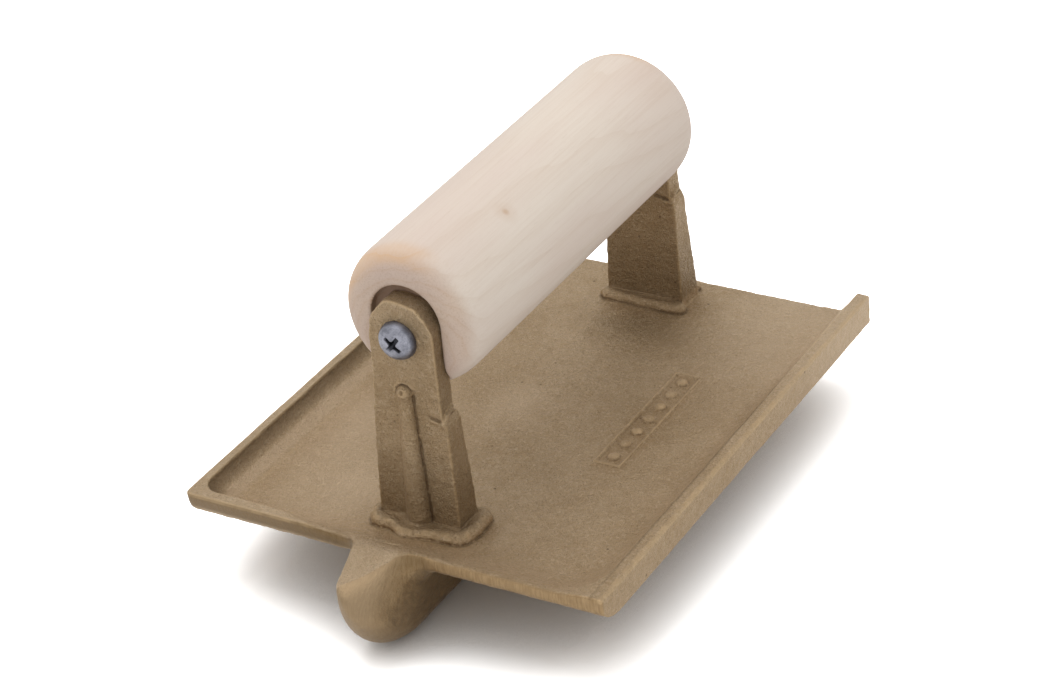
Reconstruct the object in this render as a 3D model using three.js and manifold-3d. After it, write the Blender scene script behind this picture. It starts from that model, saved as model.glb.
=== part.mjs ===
// Cast bronze hand groover: a flat sole with raised rims, a rounded groove bit
// under its centre line, two cast posts and a turned wood handle held by two
// pan head screws.  Millimetres, +Z up.  +X is across the tool, -Y is the near
// end with the prow, +Y the far, square cut end.  The parts are drawn about the
// centre of the sole's underside, then moved so that the origin is on the
// centre line, half way along the tool and level with the keel of the bit.
import * as THREE from 'three';
import { mergeVertices } from 'three/addons/utils/BufferGeometryUtils.js';
import Module from 'manifold-3d';

// ---- sole plate ----
const SOLE_L = 152.4;            // six inches
const SOLE_W = 121.0;
const HALF_L = SOLE_L / 2;
const HALF_W = SOLE_W / 2;
const NEAR_END = -HALF_L;
const RIM_H = 7.9;               // sole face to top of the rims
const FLOOR_Z = 1.8;             // top of the thin floor
const RIM_FLAT = 3.5;            // flat on top of the rims
const RIM_SLOPE = 5.1;           // width of the sloping inner wall
const END_RISE = 3.7;            // how far the near end of the sole curls up
const END_RUN = 7.2;             // length of that curl
const CORNER_R = 3.5;            // the one corner that is rounded in plan
const FLOOR_CORNER_R = 5.2;      // corners of the sunk floor
const FLOOR_CORNER_LOSS = 0.9;   // how much smaller they are at the rim top

// ---- crest: floor swelling up to the lip over the bit ----
const CREST_HALF = 34;           // half its width
const CREST_RUN = 13.0;          // its length along Y
const CREST_TOP_Z = RIM_H - 0.05;
const CREST_BASE_Z = 1.0;
const LIP_T = 1.5;               // flat top of the lip on the centre line

// ---- groove bit ----
const BIT_D = 19.8;              // depth under the sole
const BIT_R = 6.4;               // radius of the tip, half an inch wide
const BIT_ROOT = 8.6;            // half width where it meets the sole
const BIT_SPREAD = 0.3;          // widening per mm of height above the root
const BIT_EMBED = 1.0;           // how far it runs up into the sole
const BIT_FILLET = 3.0;          // concave root fillet

// ---- prow and its shoulder ----
const NOSE_R = 20.5;             // side view radius of the prow
const NOSE_Y = -72.5;            // where the keel starts to turn up
const NOSE_Z = NOSE_R - BIT_D;   // centre of that turn
const NOSE_TURN = 112 * Math.PI / 180;
const NOSE_TIP_Z = 2.4;          // top of the prow at its tip
const TIP_Y = NOSE_Y - NOSE_R;
const SHOULDER_TOP_Z = RIM_H - 0.03;
const SHOULDER_MARGIN = 1.2;     // half width beyond the bit root, at z = 0
const SHOULDER_SPREAD = 0.08;    // widening per mm of height
const SHOULDER_OVERLAP = 2.0;    // run back into the sole
const SHOULDER_INSET = 0.4;      // kept this far inside the round of the prow
const PLAIN_FLARE = 0.02;
const ROOT_FLARE = 4.2;          // flare where the shoulder meets the sole end

// ---- posts ----
const POST_HW0 = 12.05;          // half width at the sole
const POST_HW1 = 10.05;          // half width under the notch
const POST_CORNER_R = 0.7;
const POST_BASE_Z = 1.0;
const NOTCH_Z = 36.0;
const HEAD_HW = 9.75;            // half width above the notch
const HEAD_R = 9.45;             // arched head
const HEAD_Z = 57.4;             // centre of the arch
const HEAD_T = 5.9;              // thickness of the head
const RIB_R0 = 3.7;              // rib radius at the foot
const RIB_R1 = 2.4;              // rib radius under its rounded top
const RIB_BASE_Z = 1.2;
const RIB_DEPTH = 0.62;          // rib depth as a share of its radius

// Each post: its -Y face, its +Y face at the sole (back0) and under the notch
// (back1), the rib's foot, lean and top, and the foot bead's reach towards -Y.
const NEAR_POST = {
  face: -59.2, back0: -49.6, back1: -52.6,
  ribY: -59.2, ribLean: 0, ribTop: 42.0, beadReach: 5.2,
};
const FAR_POST = {
  face: 60.6, back0: 70.3, back1: 66.8,
  ribY: 70.3, ribLean: (66.8 - 70.3) / NOTCH_Z, ribTop: NOTCH_Z - 3.5, beadReach: 4.2,
};
const BEAD = { side: 3.3, plusY: 3.2, sink: 0.35, height: 3.6, below: 0.4, corner: 1.0, swell: 1.6 };

// ---- handle ----
const HANDLE_R = 19.1;
const HANDLE_Z = 59.6;
const HANDLE_NEAR = -55.7;
const HANDLE_FAR = 63.1;
const END_AX = 6.5;              // end rounding, along the handle
const END_RAD = 4.7;             // end rounding, radially
const POCKET_HW = 9.95;          // arched pocket that takes the post head
const POCKET_Z = 60.1;           // centre of its arch
const POCKET_DROP = 25;          // its open bottom, below the handle axis
const POCKET_GAP = 0.05;         // clearance to the post head

// ---- screws ----
const SCREW_Z = 56.9;
const SCREW_HEAD_R = 9.8 / 2;
const SCREW_HEAD_H = 3.2;
const SCREW_RIM_H = 1.3;
const SCREW_EDGE = 0.25;         // chamfer at the bearing face
const SCREW_GAP = 0.02;          // bearing face to post
const CREST_R = 4.8 / 2;         // thread crest
const CORE_R = 3.3 / 2;          // thread root
const NECK_R = CORE_R + 0.35;    // plain shank under the head
const NECK_END = 1.2;
const THREAD_START = 1.8;
const THREAD_PITCH = 2.1;
const THREAD_FLANK = 0.24;       // half width of the thread ridge, in pitches
const SHANK_L = 25.0;
const POINT_L = 5.5;             // scale of the taper to the point
const POINT_MIN = 0.1;           // share of the radius left at the point
const RECESS_TURN = 52 * Math.PI / 180;
const BORE_R = CREST_R + 0.3;
const BORE_SPARE = 2.5;          // bore depth beyond the screw point

// Pan head dome: [share of head radius, share of head height].
const DOME = [
  [0.12, 1], [0.45, 0.985], [0.68, 0.93], [0.84, 0.83], [0.94, 0.68], [0.985, 0.52],
  [1, SCREW_RIM_H / SCREW_HEAD_H],
];

// Recess blade: [half length, half thickness, position along the screw].
const BLADE = [
  [2.75, 0.52, -SCREW_HEAD_H - 0.4],
  [2.35, 0.46, -SCREW_HEAD_H + 0.5],
  [0.75, 0.34, -SCREW_HEAD_H + 2.3],
];

const wasm = await Module();
wasm.setup();

// ---------------------------------------------------------- outline helpers
const fractions = (steps) => Array.from({ length: steps + 1 }, (_, i) => i / steps);
const quarterTurn = (steps) => fractions(steps).map((k) => k * Math.PI / 2);
const around = (count, place) =>
  Array.from({ length: count }, (_, i) => place(2 * Math.PI * i / count));
const atZ = (points, z) => points.map(([x, y]) => [x, y, z]);

function arc(cx, cy, radius, from, to, steps) {
  const points = [];
  for (let i = 0; i <= steps; i++) {
    const a = from + (to - from) * i / steps;
    points.push([cx + radius * Math.cos(a), cy + radius * Math.sin(a)]);
  }
  return points;
}

function roundedRect(x0, x1, y0, y1, radius, steps) {
  const quarter = Math.PI / 2;
  return [
    ...arc(x1 - radius, y1 - radius, radius, 0, quarter, steps),
    ...arc(x0 + radius, y1 - radius, radius, quarter, 2 * quarter, steps),
    ...arc(x0 + radius, y0 + radius, radius, 2 * quarter, 3 * quarter, steps),
    ...arc(x1 - radius, y0 + radius, radius, 3 * quarter, 4 * quarter, steps),
  ];
}

// Arch in (x, z), with legs down to bottomZ.
function arch(halfWidth, bottomZ, centreZ, radius, steps) {
  return [
    [halfWidth, bottomZ],
    ...arc(0, centreZ, radius, 0, Math.PI, steps),
    [-halfWidth, bottomZ],
  ];
}

// ------------------------------------------------------------ solid helpers
function solid(geometry) {
  geometry.deleteAttribute('normal');
  geometry.deleteAttribute('uv');
  const merged = mergeVertices(geometry, 1e-4);
  return new wasm.Manifold(new wasm.Mesh({
    numProp: 3,
    vertProperties: new Float32Array(merged.attributes.position.array),
    triVerts: new Uint32Array(merged.index.array),
  }));
}

function geometryOf(manifold) {
  const mesh = manifold.getMesh();
  const geometry = new THREE.BufferGeometry();
  const positions = new Float32Array(mesh.vertProperties);
  geometry.setAttribute('position', new THREE.BufferAttribute(positions, 3));
  geometry.setIndex(new THREE.BufferAttribute(new Uint32Array(mesh.triVerts), 1));
  return geometry;
}

// Six times the volume enclosed by the triangles; negative if inside out.
function signedVolume(positions, index) {
  const vertex = (i) => positions.slice(3 * i, 3 * i + 3);
  let sum = 0;
  for (let t = 0; t < index.length; t += 3) {
    const [a, b, c] = [vertex(index[t]), vertex(index[t + 1]), vertex(index[t + 2])];
    sum += a[0] * (b[1] * c[2] - b[2] * c[1])
      - a[1] * (b[0] * c[2] - b[2] * c[0])
      + a[2] * (b[0] * c[1] - b[1] * c[0]);
  }
  return sum;
}

// Closed loft through rings of equal length; ends closed by fans.
function loft(rings) {
  const count = rings[0].length;
  const positions = rings.flat(2);
  const index = [];
  for (let r = 0; r + 1 < rings.length; r++) {
    for (let i = 0; i < count; i++) {
      const a = r * count + i;
      const b = r * count + (i + 1) % count;
      index.push(a, b, b + count, a, b + count, a + count);
    }
  }
  const cap = (ring, base, flip) => {
    const centre = [0, 0, 0];
    for (const p of ring) {
      for (let k = 0; k < 3; k++) centre[k] += p[k] / count;
    }
    const hub = positions.length / 3;
    positions.push(...centre);
    for (let i = 0; i < count; i++) {
      const a = base + i;
      const b = base + (i + 1) % count;
      index.push(hub, ...(flip ? [a, b] : [b, a]));
    }
  };
  cap(rings[0], 0, false);
  cap(rings[rings.length - 1], (rings.length - 1) * count, true);
  if (signedVolume(positions, index) < 0) {
    for (let t = 0; t < index.length; t += 3) {
      [index[t], index[t + 1]] = [index[t + 1], index[t]];
    }
  }
  const geometry = new THREE.BufferGeometry();
  geometry.setAttribute('position', new THREE.Float32BufferAttribute(positions, 3));
  geometry.setIndex(index);
  return solid(geometry);
}

// Outline pushed along an axis: 'x' takes (y, z) points, 'y' takes (x, z)
// points and 'z' takes (x, y) points.
function prism(points, axis, from, to) {
  const place = {
    x: (u, v, t) => [t, u, v],
    y: (u, v, t) => [u, t, v],
    z: (u, v, t) => [u, v, t],
  }[axis];
  const shape = new THREE.Shape(points.map(([u, v]) => new THREE.Vector2(u, v)));
  const options = { depth: to - from, bevelEnabled: false, curveSegments: 1 };
  const geometry = new THREE.ExtrudeGeometry(shape, options);
  const position = geometry.attributes.position;
  for (let i = 0; i < position.count; i++) {
    const t = position.getZ(i) + from;
    position.setXYZ(i, ...place(position.getX(i), position.getY(i), t));
  }
  // (x, z, y) is left handed, so the triangles are turned round
  if (axis === 'y') {
    const array = position.array;
    for (let i = 0; i < array.length; i += 9) {
      for (let k = i; k < i + 3; k++) [array[k], array[k + 3]] = [array[k + 3], array[k]];
    }
  }
  return solid(geometry);
}

// (radius, y) profile turned about the line x = 0, z = axisZ.
function turned(profile, segments, axisZ) {
  const points = profile.map(([radius, y]) => new THREE.Vector2(radius, y));
  const geometry = new THREE.LatheGeometry(points, segments);
  geometry.translate(0, 0, axisZ);
  return solid(geometry);
}

// Plug that cuts a screw hole.
const bore = (y0, y1) => turned([[0, y0], [BORE_R, y0], [BORE_R, y1], [0, y1]], 24, SCREW_Z);

// --------------------------------------------------------------------- sole
// Side view of the sole across its full width, with the near end curled up.
function soleSlab() {
  const curlR = (END_RUN ** 2 + END_RISE ** 2) / (2 * END_RISE);
  const curlTurn = Math.asin(END_RUN / curlR);
  const curl = fractions(8).reverse().map((k) => {
    const a = curlTurn * k;
    return [NEAR_END + END_RUN - curlR * Math.sin(a), curlR - curlR * Math.cos(a)];
  });
  const side = [[HALF_L, 0], [HALF_L, RIM_H], [NEAR_END, RIM_H], ...curl];
  return prism(side, 'x', -HALF_W, HALF_W);
}

// The sunk floor, open at the far end.
function floorCut() {
  const ring = (z) => {
    const rise = (z - FLOOR_Z) / (RIM_H - FLOOR_Z);
    const slope = RIM_SLOPE * (1 - rise);
    const half = HALF_W - RIM_FLAT - slope;
    const near = NEAR_END + RIM_FLAT + slope;
    const far = HALF_L + 30 + 5 * rise;
    const radius = FLOOR_CORNER_R - FLOOR_CORNER_LOSS * rise;
    return atZ(roundedRect(-half, half, near, far, radius, 6), z);
  };
  return loft([ring(FLOOR_Z), ring(RIM_H + 1)]);
}

function sole(slab) {
  const corner = arc(
    -HALF_W + CORNER_R, NEAR_END + CORNER_R, CORNER_R, Math.PI, 1.5 * Math.PI, 8);
  const plan = [[HALF_W, HALF_L], [-HALF_W, HALF_L], ...corner, [HALF_W, NEAR_END]];
  return slab.intersect(prism(plan, 'z', -1, RIM_H + 1)).subtract(floorCut());
}

function crest(slab) {
  const rings = fractions(16).map((k) => {
    const x = -CREST_HALF + 2 * CREST_HALF * k;
    const swell = Math.cos((x / CREST_HALF) * Math.PI / 2) ** 2;
    const rest = 1 - swell;
    const run = RIM_FLAT + RIM_SLOPE * 0.2 + (CREST_RUN - RIM_FLAT) * swell;
    // [distance from the near end, z]
    const section = [
      [1, CREST_BASE_Z],
      [1, CREST_TOP_Z],
      [LIP_T + (RIM_FLAT - LIP_T) * rest, CREST_TOP_Z],
      [0.45 * run + RIM_FLAT * rest * 0.55, 5.2],
      [0.72 * run + RIM_FLAT * rest * 0.4, 3.0],
      [run, FLOOR_Z],
      [run, CREST_BASE_Z],
    ];
    return section.map(([y, z]) => [x, NEAR_END + y, z]);
  });
  return loft(rings).intersect(slab);
}

// ---------------------------------------------------------------------- bit
// Half width of the bit at a height above its keel.
function bitHalfWidth(height) {
  if (height <= 0) return 0;
  if (height < BIT_R) return Math.sqrt(BIT_R * BIT_R - (BIT_R - height) ** 2);
  if (height < BIT_D) {
    return BIT_R + (BIT_ROOT - BIT_R) * (height - BIT_R) / (BIT_D - BIT_R);
  }
  return BIT_ROOT + (height - BIT_D) * BIT_SPREAD;
}

// U section, up one side from the keel and back down the other.
function bitRing(heights, place) {
  return [
    ...heights.map((h) => place(bitHalfWidth(h), h)),
    ...heights.slice(1).reverse().map((h) => place(-bitHalfWidth(h), h)),
  ];
}

const LOWER_HEIGHTS = [
  ...quarterTurn(8).map((a) => BIT_R * (1 - Math.cos(a))),
  BIT_D * 0.66,
];

function bitRun() {
  const heights = [...LOWER_HEIGHTS, BIT_D, BIT_D + BIT_EMBED];
  const ring = (y) => bitRing(heights, (x, h) => [x, y, h - BIT_D]);
  return loft([ring(HALF_L), ring(NOSE_Y - 0.02)]);
}

// Concave fillet between bit and sole; side is the sign of x.
function bitFillet(side) {
  const inner = BIT_ROOT - 0.6;
  const start = BIT_ROOT - 0.3;
  const top = 0.5;
  const points = [
    [inner, top],
    [inner, -BIT_FILLET],
    ...quarterTurn(5).map((a) => [
      start + BIT_FILLET * (1 - Math.cos(a)), -BIT_FILLET + BIT_FILLET * Math.sin(a)]),
    [start + BIT_FILLET, top],
  ];
  return prism(points.map(([x, z]) => [side * x, z]), 'y', NEAR_END + END_RUN - 3.2, HALF_L);
}

// --------------------------------------------------------------------- prow
// The bit section carried round past a quarter turn to the tip.
function prow() {
  const heights = [...LOWER_HEIGHTS, BIT_D * 0.83, BIT_D, NOSE_R - 0.02];
  return loft(fractions(16).map((k) => {
    const a = NOSE_TURN * k;
    return bitRing(heights, (x, h) => [
      x, NOSE_Y - (NOSE_R - h) * Math.sin(a), NOSE_Z - (NOSE_R - h) * Math.cos(a)]);
  }));
}

// Plan of the shoulder at height z: a rounded tongue with flared roots.
function shoulderRing(z, flare) {
  const half = BIT_ROOT + SHOULDER_MARGIN + SHOULDER_SPREAD * z;
  const rise = (z - NOSE_TIP_Z) / (SHOULDER_TOP_Z - NOSE_TIP_Z);
  const share = z <= NOSE_TIP_Z ? 0.93 : 1 - rise * 0.97;
  const reach = Math.max(1.5, (NEAR_END - TIP_Y) * share);
  const flareY = Math.min(Math.max(flare, 0.1), reach * 0.5);
  const rootY = NEAR_END + 0.02;
  const right = [
    [half + flare + 0.01, NEAR_END + SHOULDER_OVERLAP],
    ...quarterTurn(4).map((a) => [
      half + flare * (1 - Math.sin(a)), rootY - flareY * (1 - Math.cos(a))]),
  ];
  const tongue = [];
  for (let i = 1; i < 12; i++) {
    const a = Math.PI * i / 12;
    tongue.push([half * Math.cos(a), rootY - flareY - (reach - flareY) * Math.sin(a)]);
  }
  const left = right.map(([x, y]) => [-x, y]).reverse();
  return atZ([...right, ...tongue, ...left], z);
}

// Shoulder that carries the prow up to the lip, kept behind the prow's round.
function shoulder() {
  const plain = [0.6, NOSE_TIP_Z, 3.4, 5, SHOULDER_TOP_Z];
  const flared = [END_RISE - 0.1, 5, SHOULDER_TOP_Z];
  const behindRound = [
    ...arc(NOSE_Y, NOSE_Z, NOSE_R - SHOULDER_INSET, Math.PI * 0.5, Math.PI * 1.5, 30),
    [NEAR_END + 5, NOSE_Z - NOSE_R],
    [NEAR_END + 5, NOSE_Z + NOSE_R],
  ];
  return loft(plain.map((z) => shoulderRing(z, PLAIN_FLARE)))
    .add(loft(flared.map((z) => shoulderRing(z, ROOT_FLARE))))
    .intersect(prism(behindRound, 'x', -30, 30));
}

// Everything under the top of the prow, which falls from the lip to the tip.
function underProwTop() {
  const side = [
    [NEAR_END + 6, -40], [NEAR_END + 6, SHOULDER_TOP_Z], [NEAR_END, SHOULDER_TOP_Z],
    [TIP_Y - 2, NOSE_TIP_Z - 0.6], [TIP_Y - 2, -40],
  ];
  return prism(side, 'x', -40, 40);
}

// -------------------------------------------------------------------- posts
// Half round rib up the outer side, with a rounded top.
function rib({ ribY, ribLean, ribTop }) {
  const ring = (z, radius) => around(16, (a) => [
    radius * Math.cos(a), ribY + ribLean * z + RIB_DEPTH * radius * Math.sin(a), z]);
  const shoulderZ = ribTop - RIB_R1;
  const rings = [ring(RIB_BASE_Z, RIB_R0), ring(shoulderZ, RIB_R1)];
  for (let i = 1; i <= 4; i++) {
    // stops short of a quarter turn so that the last ring keeps some width
    const a = (i / 4) * Math.PI / 2 * 0.96;
    rings.push(ring(shoulderZ + RIB_R1 * Math.sin(a), RIB_R1 * Math.cos(a)));
  }
  return loft(rings);
}

// Cast bead round the foot.
function footBead({ face, back0, beadReach }) {
  return loft(quarterTurn(6).map((a) => {
    const k = Math.cos(a);
    const half = POST_HW0 + (BEAD.side * k - BEAD.sink);
    const y0 = face - (beadReach * k - BEAD.sink);
    const y1 = back0 + (BEAD.plusY * k - BEAD.sink);
    const outline = roundedRect(-half, half, y0, y1, BEAD.corner + BEAD.swell * k, 3);
    return atZ(outline, FLOOR_Z - BEAD.below + BEAD.height * Math.sin(a));
  }));
}

function post(spec) {
  const { face, back0, back1 } = spec;
  const section = (z, half, back) =>
    atZ(roundedRect(-half, half, face, back, POST_CORNER_R, 2), z);
  const head = arch(HEAD_HW, NOTCH_Z - 0.5, HEAD_Z, HEAD_R, 20);
  return loft([section(POST_BASE_Z, POST_HW0, back0), section(NOTCH_Z, POST_HW1, back1)])
    .add(prism(head, 'y', face, face + HEAD_T))
    .add(rib(spec))
    .add(footBead(spec));
}

// ------------------------------------------------------------------ casting
function casting() {
  const slab = soleSlab();
  const under = underProwTop();
  let body = sole(slab)
    .add(crest(slab))
    .add(bitRun())
    .add(prow().intersect(under))
    .add(shoulder().intersect(under))
    .add(bitFillet(-1))
    .add(bitFillet(1));
  const posts = [NEAR_POST, FAR_POST];
  for (const spec of posts) body = body.add(post(spec));
  for (const { face } of posts) body = body.subtract(bore(face - 2, face + HEAD_T + 2));
  return geometryOf(body);
}

// ------------------------------------------------------------------- handle
function handle() {
  // end rounding: [radius, distance from the end]
  const rounding = quarterTurn(7).map((a) => [
    HANDLE_R - END_RAD + END_RAD * Math.sin(a), END_AX * (1 - Math.cos(a))]);
  const profile = [
    [0, HANDLE_NEAR],
    ...rounding.map(([radius, inset]) => [radius, HANDLE_NEAR + inset]),
    ...rounding.map(([radius, inset]) => [radius, HANDLE_FAR - inset]).reverse(),
    [0, HANDLE_FAR],
  ];
  const pocket = arch(POCKET_HW, HANDLE_Z - POCKET_DROP, POCKET_Z, POCKET_HW, 24);
  const nearFloor = NEAR_POST.face + HEAD_T + POCKET_GAP;
  const farFloor = FAR_POST.face - POCKET_GAP;
  const depth = SHANK_L - HEAD_T + BORE_SPARE;
  const wood = turned(profile, 64, HANDLE_Z)
    .subtract(prism(pocket, 'y', HANDLE_NEAR - 1, nearFloor))
    .subtract(prism(pocket, 'y', farFloor, HANDLE_FAR + 1))
    .subtract(bore(nearFloor - 1, nearFloor + depth))
    .subtract(bore(farFloor - depth, farFloor + 1));
  return geometryOf(wood);
}

// ------------------------------------------------------------------- screws
// Thread radius at distance t along the shank and angle a round it.
function threadRadius(t, a) {
  const taper = Math.min(1, POINT_MIN + (SHANK_L - t) / POINT_L);
  let phase = (t / THREAD_PITCH - a / (2 * Math.PI)) % 1;
  if (phase < 0) phase += 1;
  const ridge = Math.max(0, 1 - Math.abs(phase - 0.5) / THREAD_FLANK);
  return (CORE_R + (CREST_R - CORE_R) * ridge) * taper;
}

// One tapered blade of the cross recess.
function recessBlade(turn) {
  const [c, s] = [Math.cos(turn), Math.sin(turn)];
  return loft(BLADE.map(([w, t, y]) =>
    [[-w, -t], [w, -t], [w, t], [-w, t]].map(([u, v]) => [u * c - v * s, y, u * s + v * c])));
}

// Head towards -Y and shank towards +Y, the post's face at y = 0.
function screwBody() {
  const ring = (y, radiusAt) => around(24, (a) => {
    const radius = radiusAt(a);
    return [radius * Math.cos(a), y, radius * Math.sin(a)];
  });
  const disc = (y, radius) => ring(y, () => radius);
  const rings = [
    ...DOME.map(([kr, kh]) => disc(-SCREW_HEAD_H * kh - SCREW_GAP, SCREW_HEAD_R * kr)),
    disc(-SCREW_EDGE - SCREW_GAP, SCREW_HEAD_R),
    disc(-SCREW_GAP, SCREW_HEAD_R - SCREW_EDGE),
    disc(-SCREW_GAP + 0.01, NECK_R),
    disc(NECK_END, NECK_R),
  ];
  const threadL = SHANK_L - THREAD_START;
  const steps = Math.round(threadL / (THREAD_PITCH / 5));
  for (let i = 0; i <= steps; i++) {
    const t = THREAD_START + threadL * i / steps;
    rings.push(ring(t, (a) => threadRadius(t, a)));
  }
  return loft(rings)
    .subtract(recessBlade(RECESS_TURN))
    .subtract(recessBlade(RECESS_TURN + Math.PI / 2));
}

function frontScrew() {
  return geometryOf(screwBody()).translate(0, NEAR_POST.face, SCREW_Z);
}

function rearScrew() {
  return geometryOf(screwBody())
    .rotateZ(Math.PI)
    .translate(0, FAR_POST.face + HEAD_T, SCREW_Z);
}

// ----------------------------------------------------------------- assembly
const finish = (color, roughness, metalness) =>
  new THREE.MeshStandardMaterial({ color, roughness, metalness });
const bronze = () => finish(0x9a8462, 0.55, 0.75);
const wood = () => finish(0xe3d6c8, 0.72, 0.0);
const zinc = () => finish(0x9a9cab, 0.35, 0.9);

const tool = new THREE.Group();
tool.name = 'hand_groover';

function addPiece(name, geometry, material) {
  geometry.translate(0, -(TIP_Y + HALF_L) / 2, BIT_D);
  const mesh = new THREE.Mesh(geometry, material);
  mesh.name = name;
  tool.add(mesh);
}

addPiece('groover_casting', casting(), bronze());
addPiece('wood_handle', handle(), wood());
addPiece('front_screw', frontScrew(), zinc());
addPiece('rear_screw', rearScrew(), zinc());

export default tool;
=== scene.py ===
"""Hand groover: a bronze casting with a wood handle held by two zinc screws.

The casting is a shallow tray with a deep bit along the middle of its underside. The tool
lies along y: the bit curls up into a prow at the near end (-y), +x is right, +z is up.
A post stands at each end and the turned handle runs between them.
"""

import math
from collections import namedtuple
from concurrent.futures import ThreadPoolExecutor

import bpy
import numpy as np
from mathutils import Matrix, Vector


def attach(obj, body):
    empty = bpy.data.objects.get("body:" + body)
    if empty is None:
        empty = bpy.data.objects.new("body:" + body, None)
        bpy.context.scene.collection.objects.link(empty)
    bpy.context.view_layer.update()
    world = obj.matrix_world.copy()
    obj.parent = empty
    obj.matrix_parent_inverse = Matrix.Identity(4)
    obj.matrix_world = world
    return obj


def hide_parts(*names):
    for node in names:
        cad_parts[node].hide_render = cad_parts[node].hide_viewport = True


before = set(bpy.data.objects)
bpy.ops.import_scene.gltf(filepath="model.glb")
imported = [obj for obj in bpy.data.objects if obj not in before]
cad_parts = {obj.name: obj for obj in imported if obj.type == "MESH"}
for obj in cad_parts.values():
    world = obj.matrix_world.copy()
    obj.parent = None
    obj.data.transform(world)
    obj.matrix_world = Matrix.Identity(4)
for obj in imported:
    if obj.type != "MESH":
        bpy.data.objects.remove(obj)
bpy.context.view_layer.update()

FLOAT = np.float32

# ---------------------------------------------------------------- sizes
# Millimetres about the centre of the flat sole.
PLATE_X, PLATE_Y = 60.5, 76.2              # half width and half length
RIM_Z, FLOOR_Z, RIM_INNER_X = 7.9, 1.8, 57.0
END_RUN, END_RISE = 8.4, 4.2               # upturn under the near end
CURL_R = (END_RUN ** 2 + END_RISE ** 2) / (2 * END_RISE)
CROWN_RISE = 0.9                           # swelling of the near rim over the bit
BIT_DEPTH, KEEL_R, BIT_ROOT_X = 19.8, 6.4, 8.6
PROW_R, PROW_Y = 20.5, -72.6
PROW_Z = PROW_R - BIT_DEPTH
NEAR_POST_Y, FAR_POST_Y = -59.2, 60.6      # upright faces, on the near side of each post
HEAD_THICK, SHOULDER_Z = 5.9, 36.0         # the post is thinner above its shoulder
SCREW_Z, BORE_R = 56.9, 2.7
HANDLE_R, HANDLE_Z = 19.1, 59.6
HANDLE_NEAR_Y, HANDLE_FAR_Y = -55.7, 63.1
NOSING_LENGTH, NOSING_DEPTH, NOSING_POWER = 9.0, 6.6, 2.55
POCKET_R, POCKET_Z = 9.78, 59.9            # round-topped slots that take the post heads
SCREW_LENGTH, SCREW_HEAD_R, SCREW_HEAD_H = 25.0, 5.0, 3.35
DOME_DROP = 7.6                            # dome centre below the bearing face
RECESS_TURN = math.radians(52)

# To the shared origin, the bottom centre of the whole tool's box.
ORIGIN_SHIFT = np.array([0.0, 8.4, BIT_DEPTH])


# ---------------------------------------------------------------- field tools
def lerp(first, second, t):
    return first * (1 - t) + second * t


def step(start, end, value):
    """Smooth rise from 0 at start to 1 at end, which may lie either way round."""
    t = np.clip((value - start) / (end - start), 0, 1)
    return t * t * (3 - 2 * t)


def along(position, stations, values):
    return np.interp(position, stations, values).astype(FLOAT)


def soft_min(a, b, blend):
    h = np.maximum(blend - np.abs(a - b), 0) / blend
    return np.minimum(a, b) - h * h * (blend * 0.25)


def soft_max(a, b, blend):
    h = np.maximum(blend - np.abs(a - b), 0) / blend
    return np.maximum(a, b) + h * h * (blend * 0.25)


def round_corner(a, b, radius):
    """Intersection of two half spaces with a rounded corner."""
    a, b = a + radius, b + radius
    outside = np.hypot(np.maximum(a, 0), np.maximum(b, 0))
    return np.minimum(np.maximum(a, b), 0) + outside - radius


def single(*coords):
    return (np.asarray(c, FLOAT) for c in coords)


class Lattice:
    """Smooth value noise, -1 to 1, on a wrapped random lattice of unit cells.

    Callers divide by a wavelength in mm; what they add picks a patch of the noise.
    """
    SIZE = 32

    def __init__(self, seed):
        shape = (self.SIZE,) * 3
        self.values = np.random.default_rng(seed).uniform(-1, 1, shape).astype(FLOAT)

    def __call__(self, *coords):
        cells = [np.floor(c) for c in coords]
        fractions = [c - cell for c, cell in zip(coords, cells)]
        tx, ty, tz = (t * t * t * (t * (t * 6 - 15) + 10) for t in fractions)
        ix, iy, iz = (cell.astype(int) % self.SIZE for cell in cells)
        jx, jy, jz = ((i + 1) % self.SIZE for i in (ix, iy, iz))

        def edge(row, layer):
            return lerp(self.values[ix, row, layer], self.values[jx, row, layer], tx)

        return lerp(lerp(edge(iy, iz), edge(jy, iz), ty), lerp(edge(iy, jz), edge(jy, jz), ty), tz)


noise_a, noise_b, noise_c = Lattice(11), Lattice(23), Lattice(37)


def polygon_distance(x, y, points):
    nearest = np.full(x.shape, 1e9, FLOAT)
    sign = np.ones(x.shape, FLOAT)
    for (ax, ay), (bx, by) in zip(points, np.roll(points, 1, axis=0)):
        ex, ey = bx - ax, by - ay
        wx, wy = x - ax, y - ay
        t = np.clip((wx * ex + wy * ey) / (ex * ex + ey * ey), 0, 1)
        nearest = np.minimum(nearest, (wx - ex * t) ** 2 + (wy - ey * t) ** 2)
        above, below, left = y >= ay, y < by, ex * wy > ey * wx
        sign = np.where((above & below & left) | (~above & ~below & ~left), -sign, sign)
    return sign * np.sqrt(nearest)


def segment_distance(x, y, z, start, end):
    start, end = np.array(start, float), np.array(end, float)
    run = end - start
    dx, dy, dz = x - start[0], y - start[1], z - start[2]
    t = np.clip((dx * run[0] + dy * run[1] + dz * run[2]) / (run @ run), 0, 1)
    return np.sqrt((dx - run[0] * t) ** 2 + (dy - run[1] * t) ** 2 + (dz - run[2] * t) ** 2)


# ---------------------------------------------------------------- mesher
# A shape is a function of x, y, z giving signed distance in mm, negative inside.
CORNERS = np.array(list(np.ndindex(2, 2, 2)))
CELL_EDGES = [(a, b) for a in range(8) for b in range(a + 1, 8)
              if np.abs(CORNERS[a] - CORNERS[b]).sum() == 1]


def by_chunks(task, points, size=20000):
    with ThreadPoolExecutor(4) as pool:
        return list(pool.map(task, [points[i:i + size] for i in range(0, len(points), size)]))


def values_at(shape, points):
    return np.concatenate(by_chunks(lambda chunk: shape(*chunk.T), points))


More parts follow.
